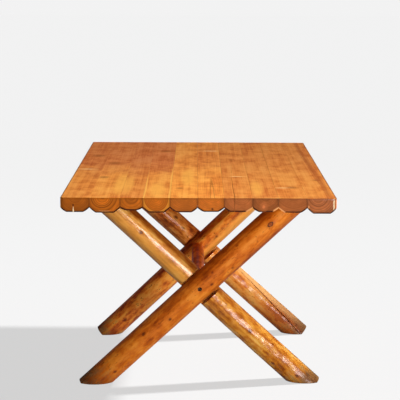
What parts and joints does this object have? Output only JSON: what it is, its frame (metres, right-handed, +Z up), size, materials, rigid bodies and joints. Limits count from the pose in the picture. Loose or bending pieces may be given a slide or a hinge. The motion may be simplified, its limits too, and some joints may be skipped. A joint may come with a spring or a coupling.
{
  "type": "dining table",
  "caption": "Rustic dining table with a top of half-log slats on two X-shaped trestles of peeled poles, tied by a round stretcher.",
  "frame": {"origin": "on the floor under the middle of the top", "axes": "+Z up, +Y along the slats towards the rear trestle, +X to the right seen from the front end"},
  "size_m": [0.914, 1.524, 0.743],
  "materials": {
    "slat_wood": "half logs, sawn and sanded, amber gloss varnish",
    "leg_wood": "peeled poles with small knots, amber gloss varnish",
    "cleat_wood": "half logs, planed, one coat of varnish",
    "dowel_wood": "bare turned hardwood, glued",
    "zinc_steel": "zinc-plated steel, dulled"
  },
  "bodies": {
    "root": {"top_slat_01": "slat_wood", "top_slat_02": "slat_wood", "top_slat_03": "slat_wood", "top_slat_04": "slat_wood", "top_slat_05": "slat_wood", "top_slat_06": "slat_wood", "top_slat_07": "slat_wood", "top_slat_08": "slat_wood", "top_slat_09": "slat_wood", "top_slat_10": "slat_wood", "front_left_leg": "leg_wood", "front_right_leg": "leg_wood", "rear_left_leg": "leg_wood", "rear_right_leg": "leg_wood", "stretcher": "leg_wood", "front_cleat": "cleat_wood", "rear_cleat": "cleat_wood", "edge_dowels": "dowel_wood", "slat_screws": "zinc_steel", "leg_lags": "zinc_steel", "front_crossing_lag": "zinc_steel", "rear_crossing_lag": "zinc_steel"}
  },
  "joints": []
}
